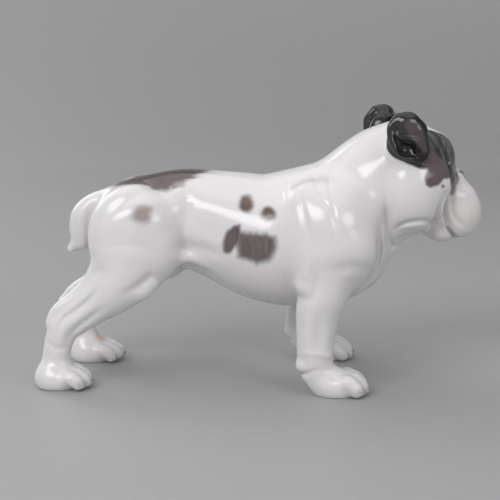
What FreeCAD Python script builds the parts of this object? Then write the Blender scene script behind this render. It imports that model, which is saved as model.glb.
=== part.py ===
"""Glazed porcelain bulldog figurine, slip-cast in sections that are stuck together with slip.

Frame: +X towards the nose, +Y to the dog's left, +Z up; the origin is on the ground under
the middle of the figurine. Millimetres throughout.

Every casting is a smooth skin over oval sections and egg-shaped muscles. A section is an
oval in a plane that leans by an angle from the horizontal: 0 is a level plane, 90 an upright
plane that faces the nose. "long" is the half axis along the leaning direction and is never
the smaller of the two; "wide" is the half axis across the dog.
"""

import FreeCAD, Part
import os

import Sketcher
from FreeCAD import Placement, Rotation, Vector

os.makedirs("parts", exist_ok=True)

ACROSS = Vector(0, 1, 0)
UPWARD = Vector(0, 0, 1)
SIDES = {"right": -1, "left": 1}

# ---------------------------------------------------------------- driving dimensions

GENERAL = {
    "wall": 3.0,            # thickness of every hollow casting
    "slip": 0.4,            # thickness of the slip that joins two castings
    "pinhole": 1.5,         # radius of the air holes pricked through each joint
    "firing_vent": 2.0,     # radius of the air hole left open in the belly
    "vent_depth": 30.0,     # how far below the loin's axis that hole starts, outside the wall
    "vent_length": 22.0,
    "front_stride": -4.0,   # how far the left front leg stands ahead of the right one
    "hind_stride": 8.0,     # the same for the hind legs
    "front_track": 29.0,    # half the distance between the front legs
    "hind_track": 21.5,     # half the distance between the hind legs
    "elbow_height": 36.0,   # level where the front legs join the trunk
    "stifle_height": 44.0,  # level where the hind legs join the trunk
    "neck_place": 51.0,     # centre of the neck joint, ahead of the origin
    "neck_height": 85.0,
    "tail_place": -74.5,    # plane where the tail joins the rump
    "tail_height": 75.0,
}
NECK_LEAN = 77.5
NECK_LONG = 27.0
NECK_WIDE = 22.0

# section: x, z, lean, long, wide
SPINE = {
    "rump": (-60.0, 68.5, 90, 19.0, 18.5),
    "loin": (-35.0, 72.5, 90, 21.0, 20.5),
    "flank": (-12.0, 67.0, 90, 25.5, 24.5),
    "ribs": (8.0, 62.3, 90, 29.5, 29.0),
    "withers": (28.0, 65.0, 86, 32.0, 30.5),
}

# egg: x, y, z, half sizes along X, Y and Z
TRUNK_EGGS = {
    "croup": (-54.5, 0.0, 68.5, 19.0, 25.0, 20.0),
    "breast": (31.0, 0.0, 57.0, 28.0, 30.0, 25.0),
}
SHOULDER = (28.0, 26.0, 64.0, 20.0, 13.5, 22.0)
HAUNCH = (-55.0, 17.5, 67.5, 21.0, 12.5, 22.5)
SHEATH = (-33.0, 0.0, 50.5, 7.0, 4.5, 6.0)

# section down a limb: x, z, lean, long, wide, how far outside the track
FRONT_LEG = {
    "forearm": (26.5, None, 0, 10.2, 9.0, 0.0),
    "shank": (25.8, 26.0, 0, 8.7, 8.0, 0.3),
    "wrist": (25.6, 15.0, 0, 8.0, 7.8, 0.5),
    "pastern": (28.0, 8.0, 0, 9.0, 8.5, 0.5),
}
HIND_LEG = {
    "gaskin": (-61.5, None, 0, 15.5, 9.0, 0.0),
    "shin": (-74.0, 34.4, 38, 10.0, 8.0, 0.5),
    "hock": (-85.9, 25.3, 37, 8.7, 7.5, 1.0),
    "metatarsus": (-88.9, 14.0, 5, 6.6, 6.4, 1.5),
    "heel": (-88.5, 7.0, 0, 8.0, 7.5, 1.5),
}
FRONT_STUMP = (28.0, 62.0, 0, 17.0, 11.0, -4.0)
HIND_STUMP = (-57.0, 66.0, 0, 18.0, 10.5, -4.0)
# paw: x, z, half length, half width, half height, how far outside the track
FRONT_PAW = (36.0, 3.0, 13.0, 10.5, 11.0, 1.0)
HIND_PAW = (-85.4, 2.0, 13.0, 10.0, 9.5, 1.5)

# the head turns a little to the dog's left
HEAD_TURN = 17.0
NAPE = {"crest": (62.0, 87.5, 80, 26.5, 24.0)}
HEAD_EGGS = {
    "skull": (68.0, 2.0, 91.5, 17.0, 24.5, 24.0),
    "right_cheek": (67.0, -16.5, 82.0, 13.0, 10.5, 16.0),
    "left_cheek": (63.0, 17.5, 82.0, 10.0, 10.5, 16.0),
    "muzzle": (81.0, 5.0, 81.0, 14.0, 17.0, 13.0),
    "right_flew": (86.2, -4.0, 75.5, 12.2, 9.0, 12.5),
    "left_flew": (82.5, 15.0, 75.5, 11.0, 8.0, 12.0),
    "nose": (90.0, 7.0, 88.5, 4.5, 5.5, 4.5),
    "chin": (79.0, 4.0, 68.0, 11.5, 12.0, 7.5),
    "dewlap": (65.0, 0.0, 68.5, 8.0, 14.0, 8.5),
    "right_brow": (76.5, -4.5, 99.0, 9.5, 11.0, 10.5),
    "left_brow": (73.0, 11.0, 99.0, 9.5, 10.0, 10.5),
}
# ear seat: x, distance from the middle plane, z
EAR_SEATS = {
    "right": (63.5, 20.0, 106.5),
    "left": (56.0, 18.5, 106.5),
}
EAR_SEAT_LONG = 6.5
EAR_SEAT_WIDE = 5.5
# root of each ear inside the skull: x, distance from the middle plane, z
EAR_ROOTS = {
    "right": (65.0, 8.0, 100.0),
    "left": (60.0, 6.0, 100.0),
}
EAR_ROOT_LONG = 12.0
EAR_ROOT_WIDE = 11.0
# section of the ear's leaf: ahead of the seat, above it, long, wide, outside it
EAR_LEAF = {
    "point": (2.0, -8.0, 2.4, 1.4, 6.5),
    "lobe": (0.5, -3.5, 6.8, 3.0, 6.0),
    "blade": (0.0, 3.5, 8.0, 3.8, 4.8),
    "fold": (0.5, 10.0, 6.2, 3.4, 3.0),
    "crown": (1.0, 14.2, 2.8, 1.7, 2.2),
}
# scoop of the ear's shell: ahead, outside, above, half sizes
EAR_SCOOP = (3.0, 7.8, 4.0, 4.2, 2.6, 6.0)

TAIL_SEAT = 5.5
TAIL_SEAT_FLAT = 0.99       # the tail's seat is very slightly wider than it is tall
TAIL = {
    "dock": (-79.5, 71.0, -135, 6.4, 5.6),
    "crank": (-80.6, 64.5, -176, 5.6, 5.0),
    "crook": (-81.5, 59.5, -184, 5.0, 4.2),
    "tip": (-84.0, 56.6, -215, 2.4, 2.0),
}

# ---------------------------------------------------------------- document helpers

document = FreeCAD.newDocument("PorcelainBulldog")
sheet = document.addObject("Spreadsheet::Sheet", "Sizes")
rows = []


def keep(alias, value):
    """Put one driving dimension in the sheet and return the expression that reads it."""
    rows.append(alias)
    sheet.set(f"A{len(rows)}", alias)
    sheet.set(f"B{len(rows)}", repr(float(value)))
    sheet.setAlias(f"B{len(rows)}", alias)
    return f"Sizes.{alias}"


def origin_plane(body, role):
    return next(plane for plane in body.Origin.OriginFeatures if plane.Role == role)


def put_at(thing, path, centre):
    """Bind a placement's three coordinates to expressions."""
    for axis, expression in zip("xyz", centre):
        thing.setExpression(f"{path}.Base.{axis}", expression)


def oval(body, name, centre, lean, long, wide, hole=None, turn=0):
    """A sketch of one oval, in a leaning plane; an optional round hole sits at its centre."""
    sketch = body.newObject("Sketcher::SketchObject", name)
    sketch.AttachmentSupport = (origin_plane(body, "XY_Plane"), "")
    sketch.MapMode = "FlatFace"
    turned = Rotation(UPWARD, turn) * Rotation(ACROSS, lean)
    sketch.AttachmentOffset = Placement(Vector(), turned)
    put_at(sketch, ".AttachmentOffset", centre)
    curve = sketch.addGeometry(Part.Ellipse(Vector(), 5, 4), False)
    sketch.exposeInternalGeometry(curve)
    sketch.addConstraint(Sketcher.Constraint("Coincident", curve, 3, -1, 1))
    sketch.addConstraint(Sketcher.Constraint("Horizontal", curve + 1))
    for line, half, start in ((curve + 1, long, 10.0), (curve + 2, wide, 8.0)):
        index = sketch.addConstraint(Sketcher.Constraint("Distance", line, start))
        sketch.setExpression(f"Constraints[{index}]", f"2 * ({half})")
    if hole:
        ring = sketch.addGeometry(Part.Circle(Vector(), UPWARD, 1), False)
        sketch.addConstraint(Sketcher.Constraint("Coincident", ring, 3, -1, 1))
        index = sketch.addConstraint(Sketcher.Constraint("Radius", ring, 1.0))
        sketch.setExpression(f"Constraints[{index}]", hole)
    return sketch


def loft(body, name, ovals, subtract=False):
    kind = "PartDesign::SubtractiveLoft" if subtract else "PartDesign::AdditiveLoft"
    feature = body.newObject(kind, name)
    feature.Profile = ovals[0]
    feature.Sections = ovals[1:]
    return feature


def skin(body, name, sections, subtract=False):
    """A loft through sections given as (name, centre, lean, long, wide, turn)."""
    ovals = [oval(body, f"{name}_{label}", centre, lean, long, wide, turn=turn)
             for label, centre, lean, long, wide, turn in sections]
    return loft(body, name, ovals, subtract)


def egg(body, name, centre, halves, turn=0, subtract=False):
    kind = "PartDesign::SubtractiveEllipsoid" if subtract else "PartDesign::AdditiveEllipsoid"
    feature = body.newObject(kind, name)
    feature.Placement = Placement(Vector(), Rotation(UPWARD, turn))
    put_at(feature, ".Placement", centre)
    along, across, upright = halves
    feature.setExpression("Radius2", along)
    feature.setExpression("Radius3", across)
    feature.setExpression("Radius1", upright)
    return feature


def prick(body, name, centre, lean, radius, depth, turn=0):
    """A round air hole, driven from its centre along the leaning direction."""
    feature = body.newObject("PartDesign::SubtractiveCylinder", name)
    turned = Rotation(UPWARD, turn) * Rotation(ACROSS, lean)
    feature.Placement = Placement(Vector(), turned)
    put_at(feature, ".Placement", centre)
    feature.setExpression("Radius", radius)
    feature.setExpression("Height", depth)
    return feature


def new_body(label):
    body = document.addObject("PartDesign::Body", label)
    body.Label = label
    return body


def kept_egg(name, values):
    """Store an egg's numbers; return its centre and its half sizes as expressions."""
    words = ("x", "y", "z", "along", "across", "upright")
    cells = [keep(f"{name}_{word}", value) for word, value in zip(words, values)]
    return cells[:3], cells[3:]


def shrunk(halves):
    return [f"{half} - Sizes.wall" for half in halves]


def hollow(section):
    """The same section, one wall thickness smaller."""
    label, centre, lean, long, wide, turn = section
    return (label, centre, lean, f"{long} - Sizes.wall", f"{wide} - Sizes.wall", turn)


# ---------------------------------------------------------------- shared places

for alias, number in GENERAL.items():
    keep(alias, number)
neck_long = keep("neck_long", NECK_LONG)
neck_wide = keep("neck_wide", NECK_WIDE)
neck_lean = keep("neck_lean", NECK_LEAN)
tail_seat = keep("tail_seat", TAIL_SEAT)
tail_seat_wide = keep("tail_seat_wide", TAIL_SEAT * TAIL_SEAT_FLAT)
ear_seat_long = keep("ear_seat_long", EAR_SEAT_LONG)
ear_seat_wide = keep("ear_seat_wide", EAR_SEAT_WIDE)
ear_root_long = keep("ear_root_long", EAR_ROOT_LONG)
ear_root_wide = keep("ear_root_wide", EAR_ROOT_WIDE)
paw_floor = keep("paw_floor", 60.0)


def neck_point(offset):
    """A point on the neck's axis, a given distance past the joint plane."""
    return [f"Sizes.neck_place + ({offset}) * sin({neck_lean} * 1deg)", "0",
            f"Sizes.neck_height + ({offset}) * cos({neck_lean} * 1deg)"]


def limb_places(name, table, sign, stride, track):
    """Sections of one limb, from its joint downwards, as expressions."""
    sections = []
    for label, (x, z, lean, long, wide, splay) in table.items():
        prefix = f"{name}_{label}"
        level = keep(f"{prefix}_z", z) if z is not None else None
        across = f"{sign} * ({track} + {keep(f'{prefix}_splay', splay)})"
        centre = [f"{keep(f'{prefix}_x', x)} + {stride}", across, level]
        half_long = keep(f"{prefix}_long", long)
        half_wide = keep(f"{prefix}_wide", wide)
        sections.append((label, centre, lean, half_long, half_wide, 0))
    return sections


def at_level(section, level):
    label, centre, lean, long, wide, turn = section
    return (label, [centre[0], centre[1], level], lean, long, wide, turn)


limbs = {}
for side, sign in SIDES.items():
    for end, table, stump, joint in (("front", FRONT_LEG, FRONT_STUMP, "elbow_height"),
                                     ("hind", HIND_LEG, HIND_STUMP, "stifle_height")):
        stride = f"Sizes.{end}_stride" if side == "left" else "0"
        track = f"Sizes.{end}_track"
        limbs[f"{end}_{side}"] = {
            "end": end, "sign": sign, "stride": stride, "track": track,
            "joint": f"Sizes.{joint}",
            "sections": limb_places(f"{end}_{side}", table, sign, stride, track),
            "stump": limb_places(f"{end}_{side}", {"stump": stump}, sign, stride, track)[0],
        }

# ---------------------------------------------------------------- trunk


def spine_sections(table, prefix):
    sections = []
    for label, (x, z, lean, long, wide) in table.items():
        name = f"{prefix}_{label}"
        centre = [keep(f"{name}_x", x), "0", keep(f"{name}_z", z)]
        half_long = keep(f"{name}_long", long)
        half_wide = keep(f"{name}_wide", wide)
        sections.append((label, centre, lean, half_long, half_wide, 0))
    return sections


def make_trunk():
    """The hollow trunk: spine skin, muscles, four limb stumps, tail seat and sheath."""
    body = new_body("trunk")
    spine = spine_sections(SPINE, "spine")
    neck = ("neck", neck_point("0"), NECK_LEAN, neck_long, neck_wide, 0)
    throat = ("throat", neck_point("-Sizes.wall"), NECK_LEAN, neck_long, neck_wide, 0)
    skin(body, "back", spine + [neck])

    eggs = {name: kept_egg(name, values) for name, values in TRUNK_EGGS.items()}
    for side, sign in SIDES.items():
        for name, (x, y, *rest), end in (("shoulder", SHOULDER, "front"),
                                         ("haunch", HAUNCH, "hind")):
            centre, halves = kept_egg(f"{side}_{name}", (x, sign * y, *rest))
            centre[0] = f"{centre[0]} + {limbs[f'{end}_{side}']['stride']}"
            eggs[f"{side}_{name}"] = (centre, halves)
    for name, (centre, halves) in eggs.items():
        egg(body, name, centre, halves)
    egg(body, "sheath", *kept_egg("sheath", SHEATH))

    for name, limb in limbs.items():
        foot = at_level(limb["sections"][0], limb["joint"])
        skin(body, f"{name}_stump", [limb["stump"], foot])

    seat = ["Sizes.tail_place", "0", "Sizes.tail_height"]
    inner_seat = ["Sizes.tail_place + 3 * Sizes.wall", "0", "Sizes.tail_height"]
    skin(body, "tail_root", [("inner", inner_seat, -90, tail_seat, tail_seat_wide, 0),
                             ("outer", seat, -90, tail_seat, tail_seat_wide, 0)])

    skin(body, "hollow", [hollow(section) for section in spine + [throat]], subtract=True)
    for name, (centre, halves) in eggs.items():
        egg(body, f"{name}_hollow", centre, shrunk(halves), subtract=True)
    for name, limb in limbs.items():
        foot = at_level(limb["sections"][0], f"{limb['joint']} + Sizes.wall")
        skin(body, f"{name}_stump_hollow", [hollow(limb["stump"]), hollow(foot)], subtract=True)
        start = [*foot[1][:2], f"{limb['joint']} - Sizes.wall"]
        prick(body, f"{name}_air", start, 0, "Sizes.pinhole", "4 * Sizes.wall")

    prick(body, "neck_air", neck_point("-3 * Sizes.wall"), NECK_LEAN, "Sizes.pinhole",
          "6 * Sizes.wall")
    loin_x, _, loin_z = spine[1][1]
    belly_vent = [f"{loin_x} - 4 * Sizes.wall", "0", f"{loin_z} - Sizes.vent_depth"]
    prick(body, "belly_vent", belly_vent, 0, "Sizes.firing_vent", "Sizes.vent_length")
    return body


# ---------------------------------------------------------------- head


def ear_place(side, word, table):
    """Store one ear's seat or root and return its centre."""
    cells = [keep(f"{side}_ear_{word}_{axis}", value)
             for axis, value in zip(("x", "out", "z"), table[side])]
    return [cells[0], f"{SIDES[side]} * {cells[1]}", cells[2]]


def make_head():
    """The hollow head, from the neck joint to the nose, with two flat ear seats."""
    body = new_body("head")
    joint = ("joint", neck_point("Sizes.slip"), NECK_LEAN, neck_long, neck_wide, 0)
    inner = ("inner", neck_point("Sizes.slip + Sizes.wall"), NECK_LEAN, neck_long, neck_wide, 0)
    nape = spine_sections(NAPE, "nape")
    skin(body, "nape", [joint] + nape)
    eggs = {name: kept_egg(name, values) for name, values in HEAD_EGGS.items()}
    for name, (centre, halves) in eggs.items():
        egg(body, name, centre, halves, HEAD_TURN)
    for side, sign in SIDES.items():
        turn = 90 * sign
        root = ear_place(side, "root", EAR_ROOTS)
        seat = ear_place(side, "seat", EAR_SEATS)
        skin(body, f"{side}_ear_root",
             [("root", root, 90, ear_root_long, ear_root_wide, turn),
              ("seat", seat, 90, ear_seat_long, ear_seat_wide, turn)])
    skin(body, "neck_hollow", [hollow(inner)] + [hollow(section) for section in nape],
         subtract=True)
    for name in ("skull", "muzzle"):
        centre, halves = eggs[name]
        egg(body, f"{name}_hollow", centre, shrunk(halves), HEAD_TURN, subtract=True)
    prick(body, "neck_air", neck_point("-Sizes.wall"), NECK_LEAN, "Sizes.pinhole",
          "6 * Sizes.wall")
    return body


def make_ear(side):
    """A folded rose ear: a thick leaf with a scooped shell, on a flat seat."""
    sign = SIDES[side]
    body = new_body(f"{side}_ear")
    seat_x, seat_out, seat_z = [f"Sizes.{side}_ear_seat_{axis}" for axis in ("x", "out", "z")]

    def beside(ahead, outside, above):
        return [f"{seat_x} + {ahead}", f"{sign} * ({seat_out} + {outside})",
                f"{seat_z} + {above}"]

    turn = 90 * sign
    blade_out = EAR_LEAF["blade"][-1]
    skin(body, "stalk",
         [("seat", beside(0, "Sizes.slip", 0), 90, ear_seat_long, ear_seat_wide, turn),
          ("blade", beside(0, blade_out, 0), 90, ear_seat_long, ear_seat_wide, turn)])
    leaf = []
    for label, (ahead, above, long, wide, outside) in EAR_LEAF.items():
        prefix = f"{side}_ear_{label}"
        leaf.append((label, beside(ahead, outside, above), 0,
                     keep(f"{prefix}_long", long), keep(f"{prefix}_wide", wide), 0))
    skin(body, "leaf", leaf)
    ahead, outside, above, *halves = EAR_SCOOP
    egg(body, "scoop", beside(ahead, outside, above), [str(half) for half in halves],
        subtract=True)
    return body


# ---------------------------------------------------------------- legs


def make_leg(name):
    """A hollow leg, from its level joint down to a paw with a flat unglazed sole."""
    limb = limbs[name]
    body = new_body(f"{name}_leg")
    sections = limb["sections"]
    top = at_level(sections[0], f"{limb['joint']} - Sizes.slip")
    skin(body, "shank", [top] + sections[1:])
    x, z, along, across, upright, splay = FRONT_PAW if limb["end"] == "front" else HIND_PAW
    centre, halves = kept_egg(f"{name}_paw", (x, splay, z, along, across, upright))
    centre[0] = f"{centre[0]} + {limb['stride']}"
    centre[1] = f"{limb['sign']} * ({limb['track']} + {centre[1]})"
    egg(body, "paw", centre, halves)
    below = body.newObject("PartDesign::SubtractiveBox", "below_ground")
    for edge in ("Length", "Width", "Height"):
        below.setExpression(edge, paw_floor)
    put_at(below, ".Placement", [f"{centre[0]} - {paw_floor} / 2",
                                 f"{centre[1]} - {paw_floor} / 2", f"-{paw_floor}"])
    inner_top = at_level(sections[0], f"{limb['joint']} - Sizes.slip - Sizes.wall")
    skin(body, "hollow", [hollow(section) for section in [inner_top] + sections[1:-1]],
         subtract=True)
    start = [*inner_top[1][:2], f"{limb['joint']} - 3 * Sizes.wall"]
    prick(body, "air", start, 0, "Sizes.pinhole", "4 * Sizes.wall")
    return body


# ---------------------------------------------------------------- tail


def make_tail():
    """The short cranked tail: out from the rump, down, and a pointed tip to the rear."""
    body = new_body("tail")
    seat = ("seat", ["Sizes.tail_place - Sizes.slip", "0", "Sizes.tail_height"], -90,
            tail_seat, tail_seat_wide, 0)
    skin(body, "brush", [seat] + spine_sections(TAIL, "tail"))
    return body


# ---------------------------------------------------------------- slip joints


def make_slip(label, centre, lean, long, wide, turn=0, hole=None):
    """The thin layer of slip in one joint, an oval disc of the same outline as the joint."""
    body = new_body(label)
    sketch = oval(body, "outline", centre, lean, long, wide, hole, turn)
    pad = body.newObject("PartDesign::Pad", "layer")
    pad.Profile = sketch
    pad.setExpression("Length", "Sizes.slip")
    return body


def make_slips():
    slips = [make_slip("neck_slip", neck_point("0"), NECK_LEAN, neck_long, neck_wide,
                       hole="Sizes.pinhole")]
    for name, limb in limbs.items():
        _, centre, lean, long, wide, _ = at_level(limb["sections"][0],
                                                  f"{limb['joint']} - Sizes.slip")
        slips.append(make_slip(f"{name}_slip", centre, lean, long, wide, hole="Sizes.pinhole"))
    for side, sign in SIDES.items():
        centre = [f"Sizes.{side}_ear_seat_x", f"{sign} * Sizes.{side}_ear_seat_out",
                  f"Sizes.{side}_ear_seat_z"]
        slips.append(make_slip(f"{side}_ear_slip", centre, 90, ear_seat_long, ear_seat_wide,
                               turn=90 * sign))
    slips.append(make_slip("tail_slip", ["Sizes.tail_place", "0", "Sizes.tail_height"], -90,
                           tail_seat, tail_seat_wide))
    return slips


# ---------------------------------------------------------------- build, check and write

nodes = [make_trunk(), make_head(), make_tail()]
nodes += [make_ear(side) for side in SIDES]
nodes += [make_leg(name) for name in limbs]
nodes += make_slips()
document.recompute()

for thing in document.Objects:
    for state in ("Invalid", "Error"):
        if state in thing.State:
            raise RuntimeError(f"{thing.Name} ({thing.Label}) is {thing.State}")
for node in nodes:
    if node.Shape.isNull() or not node.Shape.isValid() or len(node.Shape.Solids) != 1:
        raise RuntimeError(f"{node.Label} has no single valid solid")
for node in nodes:
    print(node.Label, round(node.Shape.Volume / 1000, 2), "cm3")
    node.Shape.exportStep(f"parts/{node.Label}.step")
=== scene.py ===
"""Looks of the porcelain bulldog: one soft sculpted skin, cut at the joints into its castings.

The skin is the zero level of a distance field made of overlapping eggs, strands and pressed
lines. A sculpting unit is about a millimetre and follows the length of the CAD frame. In every
place x runs towards the nose, y to the dog's left and z up; in a place with a side, y is the
distance out from its middle plane.
"""

import math

import bpy
import numpy as np
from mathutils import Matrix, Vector


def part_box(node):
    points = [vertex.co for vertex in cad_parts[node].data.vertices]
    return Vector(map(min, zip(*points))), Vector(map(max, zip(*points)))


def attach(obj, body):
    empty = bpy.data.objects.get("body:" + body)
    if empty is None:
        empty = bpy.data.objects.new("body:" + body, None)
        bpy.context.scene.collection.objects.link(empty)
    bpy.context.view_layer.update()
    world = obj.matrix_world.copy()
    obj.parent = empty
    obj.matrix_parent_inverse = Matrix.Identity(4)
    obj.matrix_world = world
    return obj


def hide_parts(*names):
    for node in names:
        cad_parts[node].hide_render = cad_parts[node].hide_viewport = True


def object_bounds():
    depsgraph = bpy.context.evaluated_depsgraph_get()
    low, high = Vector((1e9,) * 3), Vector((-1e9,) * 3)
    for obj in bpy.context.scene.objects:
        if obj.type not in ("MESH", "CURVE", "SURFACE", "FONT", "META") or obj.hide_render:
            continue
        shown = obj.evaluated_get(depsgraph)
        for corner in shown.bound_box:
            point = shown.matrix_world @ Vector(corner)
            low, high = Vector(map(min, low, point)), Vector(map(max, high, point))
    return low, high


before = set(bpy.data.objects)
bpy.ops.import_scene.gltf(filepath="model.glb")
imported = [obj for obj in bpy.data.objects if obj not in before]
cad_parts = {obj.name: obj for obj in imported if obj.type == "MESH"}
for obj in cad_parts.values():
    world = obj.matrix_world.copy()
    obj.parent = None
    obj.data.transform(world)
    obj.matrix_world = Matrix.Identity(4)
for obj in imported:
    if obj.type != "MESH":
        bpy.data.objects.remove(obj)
cad_low, cad_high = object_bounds()

# ---------------------------------------------------------------- driving sizes

DOG_LENGTH = 196.5          # heel to nose, in sculpting units
UNIT = (cad_high.x - cad_low.x) / DOG_LENGTH
CELL = 0.65                 # spacing of the skin's points
COARSE = 4                  # cells in one step of the first survey
BAND = 3.2                  # how near the skin the fine survey looks
FAR = 30.0                  # distance given to open air
BATCH = 20000               # points worked on at a time
MARGIN = 5.0                # air around the CAD box
VAST = 1e3                  # further than anything on the dog
TINY = 1e-9                 # stands in for zero in a division

# how far each left leg stands ahead of the right one: (height, distance)
FRONT_LAG = [(0, -3.6), (8, -5.0), (15, -5.6), (26, -4.4), (40, -3.2), (64, 0)]
HIND_LAG = [(0, 8), (8, 7.6), (18, 2.6), (27, -2.4), (33, -0.6), (41, 1.2), (55, 2), (75, 1)]
HEAD_AT = (66.0, 1.5)       # the middle of the skull, from above
HEAD_TURN = 13.0            # degrees to the dog's left
LEFT_EAR_AHEAD = 2.0        # how far the left ear sits ahead of the right one
SOFT_MIDDLE = 0.8           # rounds the meeting of the head's two mirrored halves


# ---------------------------------------------------------------- places to sculpt in

def spline(points, steps=7):
    """A smooth run of rows through the given rows."""
    rows = np.asarray(points, float)
    padded = np.vstack([2 * rows[0] - rows[1], rows, 2 * rows[-1] - rows[-2]])
    run = []
    for before, start, end, after in zip(padded, padded[1:], padded[2:], padded[3:]):
        for part in np.linspace(0, 1, steps, endpoint=False):
            run.append(0.5 * (2 * start + (end - before) * part
                              + (2 * before - 5 * start + 4 * end - after) * part ** 2
                              + (3 * start - before - 3 * end + after) * part ** 3))
    run.append(rows[-1])
    return np.array(run)


class Place:
    """Local coordinates: moved, turned about z, and then one side, both sides or neither.

    A lag is a curve of how far the form is moved ahead at each height.
    """

    def __init__(self, at=(0.0, 0.0), turn=0.0, side=None, lag=((0, 0), (1, 0))):
        self.at = at
        self.lag = spline(lag)
        self.cos = math.cos(math.radians(turn))
        self.sin = math.sin(math.radians(turn))
        self.side = side

    def local(self, x, y, z):
        ahead = x - self.at[0] - self.lag_at(z)
        across = y - self.at[1]
        along = ahead * self.cos + across * self.sin
        out = across * self.cos - ahead * self.sin
        if self.side == "both":
            return along, np.sqrt(out * out + SOFT_MIDDLE ** 2), z
        if self.side is not None:
            return along, self.side * out, z
        return along, out, z

    def lag_at(self, z):
        return np.interp(z, self.lag[:, 0], self.lag[:, 1]).astype(np.float32)

    def reach_in_x(self, centre, reach):
        """The stretch of x that a form at this centre can touch."""
        middle = self.at[0] + centre[0] * self.cos
        slack = reach + abs(centre[1] * self.sin) + np.abs(self.lag[:, 1]).max()
        return middle - slack, middle + slack


BODY = Place()
HEAD = Place(HEAD_AT, HEAD_TURN, "both")


def on_side(side, lag):
    """One side of the body; only the left one lags."""
    return Place(side=side, lag=lag) if side > 0 else Place(side=side)


def half_head(side):
    """One side of the turned head."""
    return Place(HEAD_AT, HEAD_TURN, side)


def ear_place(side):
    """One side of the turned head; the left one is moved ahead with its ear."""
    ahead = LEFT_EAR_AHEAD if side > 0 else 0.0
    turn = math.radians(HEAD_TURN)
    at = (HEAD_AT[0] + ahead * math.cos(turn), HEAD_AT[1] + ahead * math.sin(turn))
    return Place(at, HEAD_TURN, side)


# ---------------------------------------------------------------- forms of the field

FORMS = []                  # rows of place, distance function, centre, reach, blend, action
LINE_REACH = 2.5            # widths from a pressed line to where it has faded away
OVERSHOOT = 5.0             # a pressed line ends this far past its outer limit
TURNED_REACH = 1.45         # a box turned about z reaches less than this many times as far


def nearest(run, probe):
    """For each stretch of a run, how far along it the probes are, and their squared gap."""
    for start, end in zip(run[:-1], run[1:]):
        size = len(probe)
        axis = end[:size] - start[:size]
        offsets = [value - begin for value, begin in zip(probe, start)]
        part = sum(offset * step for offset, step in zip(offsets, axis)) / max(axis @ axis, TINY)
        part = np.clip(part, 0, 1)
        gap = sum((offset - part * step) ** 2 for offset, step in zip(offsets, axis))
        yield gap, start[size] + part * (end[size] - start[size])


def run_centre(run, size):
    """The middle of a run, and how far the run reaches from it."""
    centre = run[:, :size].mean(0)
    return centre, np.linalg.norm(run[:, :size] - centre, axis=1).max()


def egg(place, centre, halves, blend=4.0, tilt=0.0, action="add"):
    """An ellipsoid; tilt lifts its front end."""
    cos, sin = math.cos(math.radians(tilt)), math.sin(math.radians(tilt))

    def distance(x, y, z):
        x, y, z = x - centre[0], y - centre[1], z - centre[2]
        scaled = ((x * cos + z * sin) / halves[0], y / halves[1], (z * cos - x * sin) / halves[2])
        near = np.sqrt(sum(value ** 2 for value in scaled))
        slope = np.sqrt(sum((value / half) ** 2 for value, half in zip(scaled, halves)))
        return near * (near - 1) / np.maximum(slope, TINY)

    FORMS.append((place, distance, centre, max(halves) + blend, blend, action))


def strand(place, points, blend=3.0, flat=1.0):
    """A limb through points (x, out, z, radius); flat narrows it across the body."""
    squeeze = np.array((1, flat, 1, 1))
    run = spline(points)
    thin = run / squeeze

    def distance(x, y, z):
        best = np.full(x.shape, VAST, np.float32)
        for gap, radius in nearest(thin, (x, y / flat, z)):
            best = np.minimum(best, np.sqrt(gap) - radius)
        return best

    centre, length = run_centre(run, 3)
    FORMS.append((place, distance, centre, length + run[:, 3].max() + blend, blend, "add"))


def line(place, points, width, depth, out=(0.0, 40.0), soft=3.0):
    """A line pressed into the side, or raised if depth is negative, between two outs.

    Its points are (x, z, strength).
    """
    run = spline(points)

    def press(x, y, z):
        best = np.zeros(x.shape, np.float32)
        for gap, strength in nearest(run, (x, z)):
            best = np.maximum(best, strength * np.exp(-gap / width ** 2))
        ends = (y - out[0], out[1] + OVERSHOOT - y)
        return depth * best * np.clip(np.minimum(*ends) / soft + 0.5, 0, 1)

    middle, length = run_centre(run, 2)
    centre = (middle[0], (out[0] + out[1]) / 2, middle[1])
    reach = max(length + LINE_REACH * width, (out[1] - out[0]) / 2 + soft + OVERSHOOT)
    FORMS.append((place, press, centre, reach, 0.0, "press"))


def thread(place, points, width, depth):
    """A line pressed into the skin along points (x, out, z, strength) in space."""
    run = spline(points)

    def press(x, y, z):
        best = np.zeros(x.shape, np.float32)
        for gap, strength in nearest(run, (x, y, z)):
            best = np.maximum(best, strength * np.exp(-gap / width ** 2))
        return depth * best

    centre, length = run_centre(run, 3)
    FORMS.append((place, press, centre, length + LINE_REACH * width, 0.0, "press"))


def join(before, own, blend, action):
    """Adds or cuts a form with a soft edge, or presses it into what is there."""
    if action == "press":
        return before + own
    if action == "cut":
        before = -before
    mix = np.clip(0.5 + 0.5 * (before - own) / blend, 0, 1)
    joined = before + (own - before) * mix - blend * mix * (1 - mix)
    return -joined if action == "cut" else joined


def field(points):
    """Distance from each point to the skin, negative inside. Neighbours come together."""
    total = np.full(len(points), FAR, np.float32)
    for start in range(0, len(points), BATCH):
        part = slice(start, start + BATCH)
        x, y, z = np.ascontiguousarray(points[part].T, np.float32)
        values = total[part]
        low, high = x.min(), x.max()
        for place, distance, centre, reach, blend, action in FORMS:
            span = reach + BAND
            first, last = place.reach_in_x(centre, span * TURNED_REACH)
            if first > high or last < low:
                continue
            spot = place.local(x, y, z)
            away = [np.abs(value - middle) for value, middle in zip(spot, centre)]
            near = np.flatnonzero(np.maximum(np.maximum(*away[:2]), away[2]) < span)
            if len(near):
                own = distance(*(value[near] for value in spot))
                values[near] = join(values[near], own, blend, action)
        values[:] = np.maximum(values, -z)
    return total


# ---------------------------------------------------------------- the dog's body

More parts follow.
